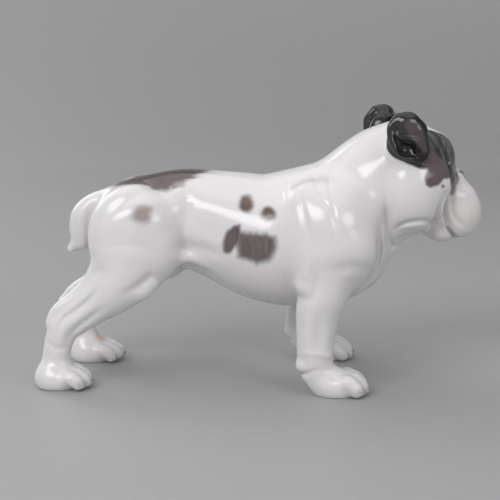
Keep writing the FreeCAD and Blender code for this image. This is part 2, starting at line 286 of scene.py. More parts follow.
def sculpt_trunk():
    # the barrel from rump to chest, the neck, and then rump, chest and breast
    strand(BODY, [(-54, 0, 69.0, 18.3), (-36, 0, 72.6, 20.9), (-14, 0, 68.3, 24.6),
                  (4, 0, 63.3, 28.4), (20, 0, 63.6, 31.0), (33, 0, 67.6, 29.2)], flat=0.96)
    strand(BODY, [(29, 0, 68, 26.6), (40, 0, 75.0, 25.2), (48.6, 0.5, 82.8, 24.8),
                  (56.6, 1, 88.8, 24.6), (62, 1.5, 91.0, 24.1)], blend=5, flat=0.9)
    egg(BODY, (-54, 0, 69.5), (18.5, 25, 18), blend=8)
    egg(BODY, (35.5, 0, 57.0), (18.6, 26, 19.6), blend=8)
    egg(BODY, (45.2, 0, 55.5), (10.6, 14, 12), blend=5)


def sculpt_shoulder(side):
    place = on_side(side, FRONT_LAG)
    # shoulder, its point and the shoulder blade
    egg(place, (31, 22, 66), (20.5, 16, 25), blend=9)
    egg(place, (37, 26, 62), (14, 10.5, 10.5), blend=5)
    egg(place, (24, 22.5, 76), (9, 8, 14), blend=6, tilt=20)
    # folds that run down from the neck, the crease behind the shoulder and two small ones
    line(place, [(24, 95, 0.4), (27.8, 85.6, 1), (31.7, 80.1, 1), (36.5, 66.1, 0.8),
                 (40, 59, 0)], 1.2, 0.45)
    line(place, [(30.2, 97, 0.3), (31.2, 88, 1), (33.2, 80, 0.8), (34.5, 74, 0)], 1.1, 0.45)
    line(place, [(17.1, 92, 0.4), (20.2, 79, 1), (22.6, 69.6, 1), (21.9, 61.5, 0.3)], 1.6, 0.6)
    line(place, [(12.9, 92, 0.3), (13.7, 84, 1), (15.2, 76, 0)], 1.1, 0.45)
    line(place, [(9.6, 91, 0.3), (10.8, 84, 1), (12.2, 77, 0)], 1.1, 0.4)
    # creases above the upper arm, and between the shoulder and the breast
    line(place, [(25, 57, 0.2), (32, 55.4, 1), (40, 57.2, 1), (49, 54.5, 0.4)], 2.8, 1.0)
    line(place, [(53.4, 76, 0.2), (52.8, 68, 1), (52.8, 60, 1), (51.4, 52, 1), (47, 45.6, 1),
                 (42.4, 40.6, 0.3)], 1.5, 2.0, out=(14, 40), soft=8)


def sculpt_front_leg(side):
    place = on_side(side, FRONT_LAG)
    # the leg, the cord behind its upper arm and the point of the elbow
    strand(place, [(28.5, 26, 58, 12.6), (28.3, 28, 49, 11.2), (28.3, 29, 43, 10.5),
                   (26.6, 29.2, 36, 9.6), (25.8, 29.5, 27, 8.5), (25.4, 29.8, 18, 7.9),
                   (26.0, 30, 11, 7.4), (29, 30, 7, 6.6)], blend=5, flat=0.93)
    strand(place, [(24.5, 33.5, 65, 0.8), (23.0, 35.0, 60, 1.2), (21.0, 35.0, 53, 1.3)], blend=3)
    egg(place, (20.0, 32.4, 48.2), (3.2, 3.8, 3.6), blend=2.5)
    # the crease round the elbow and the groove of the forearm
    line(place, [(26.0, 57, 0.2), (25.4, 50, 1), (24.4, 44.5, 1), (20.5, 41.5, 0.3)],
         1.6, 1.0, out=(24, 40))
    line(place, [(27, 38, 0.1), (27, 32, 1), (26.6, 24, 1), (26, 20, 0.1)], 2.6, 0.9,
         out=(30, 40))
    # the pad behind the wrist, the crease under it and the fold over the wrist
    egg(place, (19.8, 31.5, 12.8), (2.7, 4.0, 2.8), blend=2.0)
    line(place, [(17.5, 9.2, 0.3), (21, 9.6, 1), (24.6, 11.6, 0.6), (27, 12.4, 0.1)], 1.3, 0.8,
         out=(26, 40))
    strand(place, [(21.5, 35.4, 19.4, 0.3), (26.5, 36.0, 19.0, 0.6), (31.5, 34.8, 17.8, 0.3)],
           blend=2)
    sculpt_paw(place, FRONT_PAW)


def sculpt_haunch(side):
    place = on_side(side, HIND_LAG)
    # the thigh and its front
    egg(place, (-54.5, 17, 66.5), (19.5, 13.2, 22.5), blend=5, tilt=-6)
    egg(place, (-46.5, 18, 57), (11.5, 10, 14), blend=5, tilt=-38)
    # the flank: the crease ahead of the thigh, the hollow, the fold and the crease over it
    line(place, [(-30.5, 86, 0.2), (-31.0, 76, 1), (-31.0, 67, 1), (-31.0, 60, 0.7)],
         3.2, 1.8, out=(8, 40))
    line(place, [(-27, 76, 0.6), (-21, 71, 1), (-14, 68, 0.5)], 6.0, 1.0, out=(8, 40))
    strand(place, [(-38, 16, 56, 2.8), (-30, 15.8, 57.0, 2.2), (-23, 15.8, 55.2, 1.7),
                   (-16, 15.5, 52.0, 0.6)], blend=3)
    line(place, [(-34, 62.4, 0.6), (-26, 62.0, 1), (-17, 59.8, 0.6)], 3.0, 1.1, out=(8, 40))
    # grooves down and across the thigh, and over the hip
    line(place, [(-60.2, 62, 0.1), (-60.6, 57, 1), (-61.6, 50, 1), (-64, 44, 0.2)],
         1.7, 1.3, out=(18, 40))
    line(place, [(-66, 62, 0.1), (-60, 63.8, 0.8), (-51, 64, 0.8), (-43, 61, 0.1)],
         2.0, 0.6, out=(18, 40))
    line(place, [(-69, 71, 0.2), (-60.7, 80.0, 1), (-49.8, 85.5, 1), (-36, 88, 0.4)],
         2.2, 0.8, out=(8, 40))


def sculpt_hind_leg(side):
    place = on_side(side, HIND_LAG)
    # the leg and its tendon, with the hollow between them and the groove of the shin
    strand(place, [(-56.5, 19, 56, 14.0), (-58.0, 20.5, 49, 12.8), (-63.5, 21.5, 43, 10.8),
                   (-71, 22, 37, 8.7), (-78.5, 22.3, 31.3, 7.5), (-84.5, 22.6, 26.3, 6.8),
                   (-87.2, 22.8, 19.5, 6.2), (-88.4, 23, 12.5, 6.0), (-88.6, 23, 7, 6.2)],
           blend=5, flat=0.86)
    strand(place, [(-68.2, 20.5, 54, 4.4), (-73.0, 21, 47, 3.4), (-79.5, 22, 40.4, 2.9),
                   (-87.3, 22.6, 34.0, 2.9), (-89.7, 22.8, 29.0, 2.9)], blend=2)
    line(place, [(-67.5, 46.5, 0.2), (-72.0, 40.4, 1), (-78, 35.4, 1), (-84, 30.6, 0.8),
                 (-86.5, 25, 0.1)], 1.5, 1.7, out=(20, 40))
    line(place, [(-65, 38, 0.1), (-72, 32.5, 1), (-80, 26.0, 1), (-83.5, 20, 0.2)], 1.6, 0.9,
         out=(22, 40))
    # the fold under the knee, the crease over it and a crease below the hock
    strand(place, [(-55.5, 25, 40.8, 1.4), (-49.7, 25, 42.8, 2.9), (-45.4, 24.5, 46.5, 2.2)],
           blend=3)
    line(place, [(-57, 43.2, 0.3), (-51.5, 46.6, 1), (-46.3, 50.8, 0.8)], 1.8, 1.0,
         out=(18, 40))
    line(place, [(-90.5, 20.4, 0.5), (-87, 18.4, 1), (-83.6, 18.2, 0.4)], 1.1, 0.6,
         out=(22, 40))
    # the round heel of the foot
    egg(place, (-90.0, 23, 4.6), (7.2, 7.8, 6.6), blend=4)
    sculpt_paw(place, HIND_PAW)


# a paw: where it stands (x, out), the halves of its pad, how far its toes reach beyond where it
# stands, their radius and the height of their knuckles
FRONT_PAW = {"stands": (36.5, 30.2), "pad": (10.0, 9.2, 7.2), "toes": 12.2, "radius": 3.4,
             "knuckle": 7.8}
HIND_PAW = {"stands": (-84.5, 23.3), "pad": (10.0, 8.2, 6.0), "toes": 12.0, "radius": 3.1,
            "knuckle": 6.8}
# toe: outward place, how far it falls short of the longest toe
TOES = ((-7.2, 2.6), (-2.5, 0.2), (2.7, 0.0), (7.4, 2.4))


def sculpt_paw(place, paw):
    """The pad, and four toes with their claws."""
    centre, out = paw["stands"]
    radius = paw["radius"]
    egg(place, (centre - 1.5, out, 3.6), paw["pad"], blend=5)
    for sideways, short in TOES:
        reach = centre + paw["toes"] - short
        toe_out = out + sideways
        root_out = out + 0.72 * sideways
        strand(place, [(reach - 12.0, root_out, paw["knuckle"] - 4.0, radius * 0.7),
                       (reach - 7.2, out + 0.9 * sideways, paw["knuckle"] - 1.2, radius),
                       (reach - 4.0, toe_out, 4.5, radius),
                       (reach - radius + 0.1, toe_out, 3.2, radius * 0.88)], blend=1.8)
        egg(place, (reach - 0.5, toe_out, 2.5), (1.3, 0.8, 1.1), blend=0.9)


def sculpt_tail():
    # the thick root, the tip, and the crease between each side of the tail and the rump
    strand(BODY, [(-66, 0, 77.5, 8.0), (-73, 0, 76.4, 6.6), (-77.6, 0, 72.2, 6.6),
                  (-79.0, 0, 67.0, 6.0), (-79.2, 0, 62.2, 5.0)], blend=2.0, flat=0.92)
    strand(BODY, [(-79.6, 0, 61.4, 3.8), (-82.0, -0.4, 59.8, 2.7), (-84.3, -0.6, 57.8, 1.9)],
           blend=1.6)
    for side in (-1, 1):
        thread(Place(side=side), [(-70, 7.5, 84, 0.1), (-73.2, 7.5, 79, 0.8), (-74.6, 6.5, 73, 1),
                                  (-74.6, 6.0, 66, 1), (-74.8, 4, 60, 1)], 1.6, 2.8)


def sculpt_underside():
    """The sheath under the belly."""
    strand(BODY, [(-30, 0, 53.0, 2.4), (-35, 0, 50.6, 3.0), (-39.4, 0, 47.4, 3.0),
                  (-41.6, 0, 46.2, 1.9)], blend=2.5)


# ---------------------------------------------------------------- the head

def sculpt_head():
    # skull, brow, cheek, cheekbone and the bulk of the muzzle
    egg(HEAD, (0.0, 0, 92.5), (18.9, 22.5, 21.5), blend=6)
    egg(HEAD, (9.6, 7.5, 101.6), (8.6, 6.8, 9.0), blend=4)
    egg(HEAD, (-2.0, 14.5, 85.3), (14.5, 11.5, 16.6), blend=5)
    egg(HEAD, (8.5, 15.5, 91), (7.5, 6.5, 7), blend=5)
    egg(HEAD, (16.5, 0, 80.5), (13.5, 15.0, 13.5), blend=4)
    sculpt_muzzle()
    sculpt_face()
    sculpt_throat()
    for side in (-1, 1):
        sculpt_ear(ear_place(side))


def sculpt_muzzle():
    # the hanging lip, the top of the muzzle and the fold over the nose
    egg(HEAD, (21.2, 8.2, 75.7), (10.6, 8.6, 11.8), blend=3)
    egg(HEAD, (20.0, 7.2, 83.2), (8.0, 7.4, 5.2), blend=3)
    strand(HEAD, [(19.2, 0, 93.8, 2.4), (18.6, 5.5, 92.6, 2.4), (17.0, 10.5, 88.6, 2.3),
                  (15.6, 14.0, 83.0, 1.8)], blend=2.2)
    # the nose, its nostril and the parting under it
    egg(HEAD, (22.4, 0, 89.9), (3.6, 6.0, 4.2), blend=1.4, tilt=-35)
    egg(HEAD, (26.1, 2.9, 88.3), (1.7, 1.5, 1.3), blend=0.8, action="cut")
    thread(HEAD, [(27.0, 0, 86, 0.6), (31.0, 0, 80, 1), (32.5, 0, 73, 1), (29, 0, 65.6, 0.8)],
           1.3, 1.5)
    # the mouth between the lips, the jaw, the chin and the edge of the lip
    egg(HEAD, (31.0, 0, 62.6), (9.0, 4.4, 7.0), blend=3, action="cut")
    egg(HEAD, (14.6, 4.5, 66.4), (6.4, 7.5, 4.6), blend=2.5)
    egg(HEAD, (20.5, 0, 66.2), (6.0, 6.0, 4.4), blend=1.5)
    line(HEAD, [(20.3, 63.5, 1), (17.6, 66.0, 1), (15.0, 69.5, 0.7), (13.6, 73, 0.2)],
         1.1, 1.0, out=(2, 40))
    # three creases of the cheek, and the ridge between the last two
    line(HEAD, [(16.4, 87.5, 0.2), (15.9, 82.3, 1), (16.2, 77.4, 1), (18.4, 72.8, 0.8),
                (21.9, 69.8, 0.1)], 1.2, 1.3, out=(8, 40))
    line(HEAD, [(13.4, 85.6, 0.2), (12.4, 80.4, 1), (12.8, 75.8, 1), (15.0, 71.0, 0.5)],
         1.2, 1.6, out=(8, 40))
    line(HEAD, [(10.3, 86.0, 0.2), (7.8, 79.2, 1), (7.1, 74.6, 1), (7.6, 67.0, 0.6)],
         1.4, 1.6, out=(8, 40))
    line(HEAD, [(9.8, 82.5, 0.3), (9.8, 76.5, 1), (11.0, 70.0, 0.3)], 1.3, -0.7,
         out=(8, 40))


def sculpt_face():
    # the furrow between the brows, and two creases and a ridge down each brow
    thread(HEAD, [(4, 0, 114, 0.1), (13, 0, 108, 1), (18.8, 0, 101, 1),
                  (19.8, 0, 97, 0.4)], 2.2, 0.7)
    line(HEAD, [(9.7, 110, 0.2), (11.4, 106.5, 1), (13.1, 99.9, 1), (14.0, 91.9, 1),
                (14.6, 86, 0.4)], 1.1, 1.3, out=(4, 40))
    line(HEAD, [(2.2, 114, 0.1), (4.6, 108.6, 1), (7.0, 102.2, 0.3)], 1.3, 0.7,
         out=(6, 40))
    line(HEAD, [(6.2, 111, 0.1), (8.2, 104.5, 1), (10.2, 99, 0.1)], 1.3, -0.4,
         out=(6, 40))
    # the socket, the eye and its upper lid
    egg(HEAD, (18.2, 8.6, 91.4), (3.4, 3.8, 2.8), blend=1.2, action="cut")
    egg(HEAD, (16.4, 9.0, 91.2), (2.9, 3.3, 2.8), blend=0.5)
    strand(HEAD, [(18.0, 4.8, 94.6, 0.8), (18.2, 8.4, 95.2, 1.2), (16.0, 12.4, 93.9, 1.0)],
           blend=1.4)


def sculpt_throat():
    # the throat and two folds of the dewlap
    strand(HEAD, [(9, 0, 72.8, 7.2), (1, 0, 74.6, 8.6), (-8, 0, 74.6, 10.2)], blend=4, flat=1.3)
    strand(HEAD, [(-10.4, 11, 67.2, 1.8), (-6.0, 13.5, 70.2, 2.6), (0.6, 13.5, 71.0, 2.6),
                  (6.0, 11.0, 69.6, 1.6)], blend=1.8)
    strand(HEAD, [(-11, 5, 65.4, 2.8), (-4, 7, 67.2, 3.0), (3.5, 7, 67.8, 2.2)], blend=2.4)
    # the creases over the dewlap, behind the cheek and behind the dewlap
    line(HEAD, [(-10.4, 70.4, 0.2), (-6.4, 73.6, 1), (0.4, 74.4, 1), (6.6, 72.4, 0.3)],
         1.3, 1.5, out=(8, 40))
    line(HEAD, [(-12.1, 99, 0.3), (-14.4, 93.6, 1), (-14.9, 86.7, 1), (-14.8, 79.3, 0.9),
                (-14.8, 73, 0.4)], 3.0, 1.3, out=(8, 40))
    line(HEAD, [(-15.4, 82, 0.1), (-14.6, 76, 0.8), (-13.8, 70, 1), (-12.4, 65.5, 1),
                (-9.5, 61.5, 0.7)], 1.8, 2.4, out=(3, 40))


def sculpt_ear(place):
    # the root and its front, the rim behind and below, and the cup inside
    egg(place, (-7.2, 18.2, 107.5), (8.0, 5.4, 11.0), blend=3)
    egg(place, (-1.4, 19.6, 106.0), (4.4, 4.0, 7.4), blend=2.5, tilt=18)
    strand(place, [(-11.5, 20.6, 118.6, 1.8), (-14.4, 21.4, 115.2, 1.6),
                   (-14.6, 22.2, 110.5, 1.5), (-13.4, 23.2, 107.0, 1.5),
                   (-11.0, 24.0, 103.8, 1.5), (-7.6, 24.2, 102.1, 1.4),
                   (-3.8, 23.6, 100.9, 1.2), (0.4, 22.2, 98.8, 0.8)], blend=1.6)
    egg(place, (-7.8, 25.2, 106.0), (4.6, 3.8, 3.6), blend=1.2, action="cut")
    # the folded flap and its edge
    egg(place, (-7.4, 21.6, 117.2), (5.4, 3.6, 4.2), blend=2)
    egg(place, (-5.6, 23.4, 113.2), (6.8, 2.4, 5.6), blend=2)
    egg(place, (-1.6, 23.8, 107.6), (3.4, 2.2, 7.4), blend=2, tilt=18)
    strand(place, [(-12.6, 23.4, 112.4, 0.9), (-10.6, 24.6, 110.8, 1.1),
                   (-7.4, 25.6, 110.6, 1.1), (-4.4, 26.0, 109.0, 1.1),
                   (-1.8, 25.8, 105.6, 1.1), (0.8, 24.6, 102.4, 1.0)], blend=0.9)


def sculpt():
    sculpt_trunk()
    for side in (-1, 1):
        sculpt_haunch(side)
        sculpt_shoulder(side)
    for side in (-1, 1):
        sculpt_front_leg(side)
        sculpt_hind_leg(side)
    sculpt_underside()
    sculpt_tail()
    sculpt_head()


# ---------------------------------------------------------------- skinning the field

PROBES = np.array([(1, 1, 1), (1, -1, -1), (-1, 1, -1), (-1, -1, 1)], float)
PROBE_STEP = 0.12
LEAST_SLOPE = 0.25          # squared slope below which points settle more slowly


def spread(coarse):
    """Each coarse value repeated over the fine cells around its place."""
    fine = np.kron(coarse, np.ones((COARSE,) * 3, coarse.dtype))
    return np.roll(fine, (-(COARSE // 2),) * 3, (0, 1, 2))


def survey(low, high):
    """Field values on a grid: true near the skin, and elsewhere only the right sign."""
    step = CELL * COARSE
    counts = np.ceil((high - low) / step).astype(int) + 1
    places = np.indices(counts).reshape(3, -1).T
    coarse = field(low + places * step).reshape(counts)
    values = spread(np.where(coarse < 0, -BAND, BAND).astype(np.float32))
    near = spread((np.abs(coarse) < BAND).astype(np.int8)) > 0
    values[near] = field(low + np.argwhere(near) * CELL)
    return values


def net(values, low):
    """Points and quads of the skin: one point in each grid cell that the skin crosses."""
    inside = values < 0
    shape = np.array(values.shape) - 1
    corners = np.indices((2, 2, 2)).reshape(3, -1).T
    count = np.zeros(shape, np.int8)
    for i, j, k in corners:
        count += inside[i:i + shape[0], j:j + shape[1], k:k + shape[2]]
    active = (count > 0) & (count < 8)
    cells = np.argwhere(active)
    number = np.full(values.shape, -1)
    number[:-1, :-1, :-1][active] = np.arange(len(cells))
    total = np.zeros((len(cells), 3))
    crossings = np.zeros((len(cells), 1))
    for start in corners:
        for end in corners:
            if (end - start).sum() != 1 or (end < start).any():
                continue
            first = values[tuple((cells + start).T)]
            second = values[tuple((cells + end).T)]
            crossed = (first < 0) != (second < 0)
            part = np.divide(first, first - second, out=np.zeros_like(first), where=crossed)
            total += (start + part[:, None] * (end - start)) * crossed[:, None]
            crossings += crossed[:, None]
    points = low + (cells + total / crossings) * CELL
    return points, np.vstack([quads_across(inside, number, axis) for axis in range(3)])


def quads_across(inside, number, axis):
    """A quad around each grid edge along one axis that passes through the skin."""
    one, two = (np.roll((1, 0, 0), axis + turn) for turn in (1, 2))
    change = np.diff(inside.astype(np.int8), axis=axis)
    edges = np.argwhere(change)
    entering = change[tuple(edges.T)] > 0
    around = (edges, edges - one, edges - one - two, edges - two)
    quads = np.stack([number[tuple(cells.T)] for cells in around], 1)
    quads[entering] = quads[entering][:, ::-1]
    return quads


def slopes(points):
    """Field value and uphill direction at each point, from four probes around it."""
    value = np.zeros(len(points))
    uphill = np.zeros((len(points), 3))
    for probe in PROBES:
        found = field(points + PROBE_STEP * probe)
        value += found / 4
        uphill += found[:, None] * probe / (4 * PROBE_STEP)
    return value, uphill


def settle(points):
    """Moves points onto the skin along the field's slope, and keeps the soles flat."""
    value, uphill = slopes(points)
    steep = np.maximum((uphill ** 2).sum(1), LEAST_SLOPE)
    step = np.clip(value / steep, -0.5 * CELL, 0.5 * CELL)
    points = points - step[:, None] * uphill
    points[:, 2] = np.maximum(points[:, 2], 0)
    return points


# ---------------------------------------------------------------- cutting into castings

SLIP = 0.4                  # thickness of a slip joint
NECK_LEAN = 77.5            # lean of the neck's joint from flat
EAR_LEAN = 40.0             # lean of the ears' joints from upright
# root of the ear on each side: along the turned head, out from its middle, and height
EAR_ROOTS = {-1: (-7.0, 16.5, 107.0), 1: (-7.0, 17.9, 107.0)}
# how far a sculpted casting may pass its frame node's box, along x, y and z
LEG_GROWTH = np.array((9.0, 3.5, 9.0))
TAIL_GROWTH = np.array((9.0, 3.0, 6.0))
GROWTH = np.array((12.0, 12.0, 12.0))


def leaning(angle):
    """A direction in the dog's middle plane, leaning ahead from straight up."""
    return np.array((math.sin(math.radians(angle)), 0, math.cos(math.radians(angle))))


def slip_seam(piece, slip, facing, growth=GROWTH):
    """A joint at its slip in the frame; facing points from the trunk into the casting."""
    low, high = (np.array(corner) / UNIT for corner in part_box(slip))
    return {"piece": piece, "slip": slip, "base": "trunk", "facing": facing,
            "start": facing @ (low + high) / 2 - SLIP / 2, "growth": growth}


def ear_seam(piece, slip, side):
    """The ears are stuck to the turned head, on seats that lean with the skull."""
    place = half_head(side)
    along, out, height = EAR_ROOTS[side]
    outward = side * np.array((-place.sin, place.cos, 0))
    root = (np.array((*HEAD_AT, height)) + along * np.array((place.cos, place.sin, 0))
            + out * outward)
    lean = math.radians(EAR_LEAN)
    facing = outward * math.cos(lean) + np.array((0, 0, math.sin(lean)))
    return {"piece": piece, "slip": slip, "base": "head", "facing": facing,
            "start": facing @ root, "growth": GROWTH}


DOWN, BACK = leaning(180), leaning(-90)
SEAMS = [
    slip_seam("head", "neck_slip", leaning(NECK_LEAN)),
    slip_seam("tail", "tail_slip", BACK, TAIL_GROWTH),
    slip_seam("front_right_leg", "front_right_slip", DOWN, LEG_GROWTH),
    slip_seam("front_left_leg", "front_left_slip", DOWN, LEG_GROWTH),
    slip_seam("hind_right_leg", "hind_right_slip", DOWN, LEG_GROWTH),
    slip_seam("hind_left_leg", "hind_left_slip", DOWN, LEG_GROWTH),
    ear_seam("right_ear", "right_ear_slip", -1),
    ear_seam("left_ear", "left_ear_slip", 1),
]


class Castings:
    """The skin shared out among the castings, sliced flat at the slip joints."""

    def __init__(self, points, quads):
        self.points = points.tolist()
        self.quads = quads
        self.owner = np.full(len(quads), "trunk", dtype="U20")
        self.sliced = {}
        self.caps = {}
        for seam in SEAMS:
            self.slice_seam(seam)

    def slice_seam(self, seam):
        facing, start, end = seam["facing"], seam["start"], seam["start"] + SLIP
        corners = np.array(self.points)[self.quads]
        heights = corners @ facing
        low, high = (np.array(corner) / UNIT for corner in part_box(seam["piece"]))
        middles = corners.mean(1)
        low, high = low - seam["growth"], high + seam["growth"]
        here = (middles > low).all(1) & (middles < high).all(1)
        here &= self.owner == seam["base"]
        self.owner[here & (heights.min(1) >= end)] = seam["piece"]
        touched = here & (heights.max(1) > start) & (heights.min(1) < end)
        self.owner[touched] = ""
        halves = self.quads[touched][:, (0, 1, 2, 0, 2, 3)].reshape(-1, 3).tolist()
        below, rest = self.slice_level(halves, facing, start, seam["base"], seam["slip"])
        inside, above = self.slice_level(rest, facing, end, seam["slip"], seam["piece"])
        for name, faces in ((seam["base"], below), (seam["slip"], inside),
                            (seam["piece"], above)):
            self.sliced.setdefault(name, []).extend(faces)

    def slice_level(self, faces, facing, level, under, over):
        """Slices faces at one height, and closes both pieces with flat caps there."""
        made = {}
        lower_faces, upper_faces, rim = [], [], []
        for face in faces:
            lower, upper, ends = [], [], {}
            is_low = [float(facing @ self.points[corner]) < level for corner in face]
            for place, here in enumerate(face):
                onward = (place + 1) % len(face)
                (lower if is_low[place] else upper).append(here)
                if is_low[place] == is_low[onward]:
                    continue
                pair = tuple(sorted((here, face[onward])))
                if pair not in made:
                    made[pair] = self.crossing(pair, facing, level)
                lower.append(made[pair])
                upper.append(made[pair])
                ends[is_low[place]] = made[pair]
            lower_faces += [lower] if lower else []
            upper_faces += [upper] if upper else []
            rim += [(ends[True], ends[False])] if ends else []
        self.close(dict(rim), facing, under, over)
        return lower_faces, upper_faces

    def close(self, onward, facing, under, over):
        """Fills each loop of a rim, given as each point's next one, for the piece on each side."""
        while onward:
            loop = [next(iter(onward))]
            while loop[-1] in onward:
                loop.append(onward.pop(loop[-1]))
            self.points.append(np.mean([self.points[spot] for spot in loop[1:]], 0).tolist())
            hub = len(self.points) - 1
            for here, ahead in zip(loop, loop[1:]):
                self.caps.setdefault(under, []).append(((hub, ahead, here), facing))
                self.caps.setdefault(over, []).append(((hub, here, ahead), -facing))

    def crossing(self, pair, facing, level):
        """A new point where the edge between two points passes a height."""
        first, second = (np.array(self.points[corner]) for corner in pair)
        start, end = facing @ first, facing @ second
        self.points.append((first + (second - first) * (level - start) / (end - start)).tolist())
        return len(self.points) - 1

    def piece(self, name):
        """A piece's points and faces, and the normal of each corner of its faces."""
        skin_faces = self.quads[self.owner == name].tolist() + self.sliced.get(name, [])
        caps = self.caps.get(name, [])
        faces = skin_faces + [list(face) for face, _ in caps]
        used, flat = np.unique(np.concatenate(faces), return_inverse=True)
        points = np.array(self.points)[used]
        _, uphill = slopes(points)
        uphill /= np.linalg.norm(uphill, axis=1, keepdims=True)
        normals = uphill[flat]
        skin_corners = sum(len(face) for face in skin_faces)
        for order, (_, facing) in enumerate(caps):
            start = skin_corners + 3 * order
            normals[start:start + 3] = facing
        lengths = [len(face) for face in faces]
        faces = [part.tolist() for part in np.split(flat, np.cumsum(lengths)[:-1])]
        return points, faces, normals


# ---------------------------------------------------------------- paint

WHITE = (0.80, 0.78, 0.79)
BISCUIT = (0.78, 0.75, 0.70)
BROWN_GREY = (0.095, 0.067, 0.062)
SPOT_BROWN = (0.120, 0.070, 0.052)
DARK_BROWN = (0.050, 0.038, 0.034)
PALE_BROWN = (0.26, 0.20, 0.18)
CHARCOAL = (0.034, 0.030, 0.032)
MAUVE = (0.135, 0.105, 0.108)
BLACK = (0.009, 0.009, 0.011)
ROSY = (0.80, 0.735, 0.70)
TAN = (0.62, 0.33, 0.17)
CLAW = (0.10, 0.075, 0.065)

# round markings: centre and halves, as (x, y) on the back and (x, z) elsewhere
BACK_PATCH = ((-43, 2.0), (21.5, 16.5))
BACK_SHADE = ((-42.5, -4.5), (19, 5))
HAUNCH_PATCH = ((-48.6, 77.8), (4.4, 3.4))
RIB_SPOTS = (((-4.9, 81.5), (3.1, 2.9)), ((5.2, 77.7), (3.1, 2.9)))
EARS = ((-7.5, 110), (10.2, 14.0))
EYE = ((17.4, 91.2), (2.6, 3.0))
MUZZLE = ((24, 80), (11, 17))
NOSE = ((24.0, 89.8), (4.0, 3.6))
CHEEK_DOT = ((8.5, 89.4), (0.8, 0.8))

# outlines and brush strokes of markings and painted shade, as (x, z), a stroke's half width last
RIB_PATCH = [(-8.6, 70.6), (-1, 69.8), (8.0, 68.8), (8.4, 64), (6.4, 58.8), (0.6, 56.2),
             (-8.2, 58.4)]
RIB_LOBE = [(-7.4, 72.6, 0.8), (-9.8, 69.4, 2.6), (-11.6, 65, 3.0), (-12.8, 61.8, 1.8)]
ELBOW_SHADE = [(13.4, 52, 2), (13.4, 46, 2)]
MASK = [(-6, 120), (4, 120), (15, 114), (22, 107), (22.4, 101), (19.2, 95.5), (17.9, 91),
        (17.4, 86.4), (15.8, 83.6), (14.0, 86.5), (12.2, 92.5), (9, 92.6), (6, 90.2), (2.2, 89.2),
        (0, 90.4), (-0.4, 93), (1.4, 96.2), (-1.0, 100.5), (-4, 101), (-6, 106)]
CHEEK_PATCH = [(-1.4, 101.4), (1.2, 97), (-0.6, 94.3), (0.3, 90.3), (2.9, 89.2), (6, 90.1),
               (9, 93), (10.4, 97), (9.8, 99.9), (5.6, 103)]
BROW_STROKES = ([(9.7, 110, 0.5), (12.9, 100, 0.8), (14.7, 91, 0.9), (15.5, 86, 0.6)],
                [(3.4, 113, 0.5), (6.4, 107, 0.9), (9.6, 100.6, 0.4)],
                [(14.5, 110, 0.3), (18.0, 104, 0.6), (18.6, 97, 0.5)])
EAR_WISP = [(-12.2, 103.8, 0.8), (-8.0, 101.4, 1.1), (-4.1, 99.8, 1.3), (-1.4, 98.0, 1.0),
            (0.9, 97.2, 0.5)]
EAR_FLAP = [(-6.8, 116, 2.8), (-3.8, 111.8, 3.0), (-0.8, 105.6, 1.4)]
# painted shade in the hollow below each eye, laid in black
EYE_SOCKET_SHADE = [(15.7, 88.0, 1.3), (15.4, 85.0, 0.6)]
# a darker line laid along the crease at the edge of the lip
LIP_CREASE_DARKENING = [(21.2, 63.9, 0.4), (17.8, 66.2, 0.7), (15, 69.6, 0.5)]
TAN_SPOT = (-76, 22, 9.8)

# multipliers that scatter the noise's whole numbers, and how many values they fall into
SCATTER = (73856093, 19349663, 83492791)
SCATTER_SEED = 2654435761
SCATTER_AGAIN = 1274126177
POSITIVE = 0x7FFFFFFF
NOISE_VALUES = 20011


def noise(points, grain, seed):
    """Smooth random values between -1 and 1, with features the size of the grain."""
    spots = points / grain
    cell = np.floor(spots).astype(np.int64)
    part = spots - cell
    part = part * part * (3 - 2 * part)
    total = np.zeros(len(points))
    for corner in np.indices((2, 2, 2)).reshape(3, -1).T:
        x, y, z = ((cell + corner) * SCATTER).T
        mixed = x ^ y ^ z ^ (seed * SCATTER_SEED)
        mixed = (mixed ^ (mixed >> 13)) * SCATTER_AGAIN & POSITIVE
        weight = np.where(corner, part, 1 - part).prod(1)
        value = (mixed ^ (mixed >> 16)) % NOISE_VALUES / ((NOISE_VALUES - 1) / 2)
        total += weight * (value - 1)
    return total


def fade(gap, soft):
    """1 well inside an edge, 0 well outside, and a smooth step between."""
    part = np.clip(0.5 - gap / soft, 0, 1)
    return part * part * (3 - 2 * part)


def round_gap(first, second, centre, halves):
    """Distance outside an oval in two coordinates, negative inside."""
    near = np.hypot((first - centre[0]) / halves[0], (second - centre[1]) / halves[1])
    return (near - 1) * min(halves)


def brush_gap(probe, points):
    """Distance outside a brush stroke through points (coordinates, half width)."""
    best = np.full(len(probe[0]), VAST)
    for gap, half in nearest(spline(points), probe):
        best = np.minimum(best, np.sqrt(gap) - half)
    return best


def outline_gap(first, second, corners):
    """Distance outside a closed outline in two coordinates, negative inside."""
    best = np.full(len(first), VAST ** 2)
    inside = np.zeros(len(first), bool)
    for start, end in zip(corners, corners[1:] + corners[:1]):
        run, rise = end[0] - start[0], end[1] - start[1]
        dx, dz = first - start[0], second - start[1]
        part = np.clip((dx * run + dz * rise) / (run * run + rise * rise), 0, 1)
        best = np.minimum(best, (dx - part * run) ** 2 + (dz - part * rise) ** 2)
        crosses = (start[1] > second) != (end[1] > second)
        inside ^= crosses & (dx < run * dz / (rise or TINY))
    return np.where(inside, -1, 1) * np.sqrt(best)


def lay(colours, colour, amount):
    """Paints a colour over what is there."""
    colours += (np.array(colour) - colours) * amount[:, None]


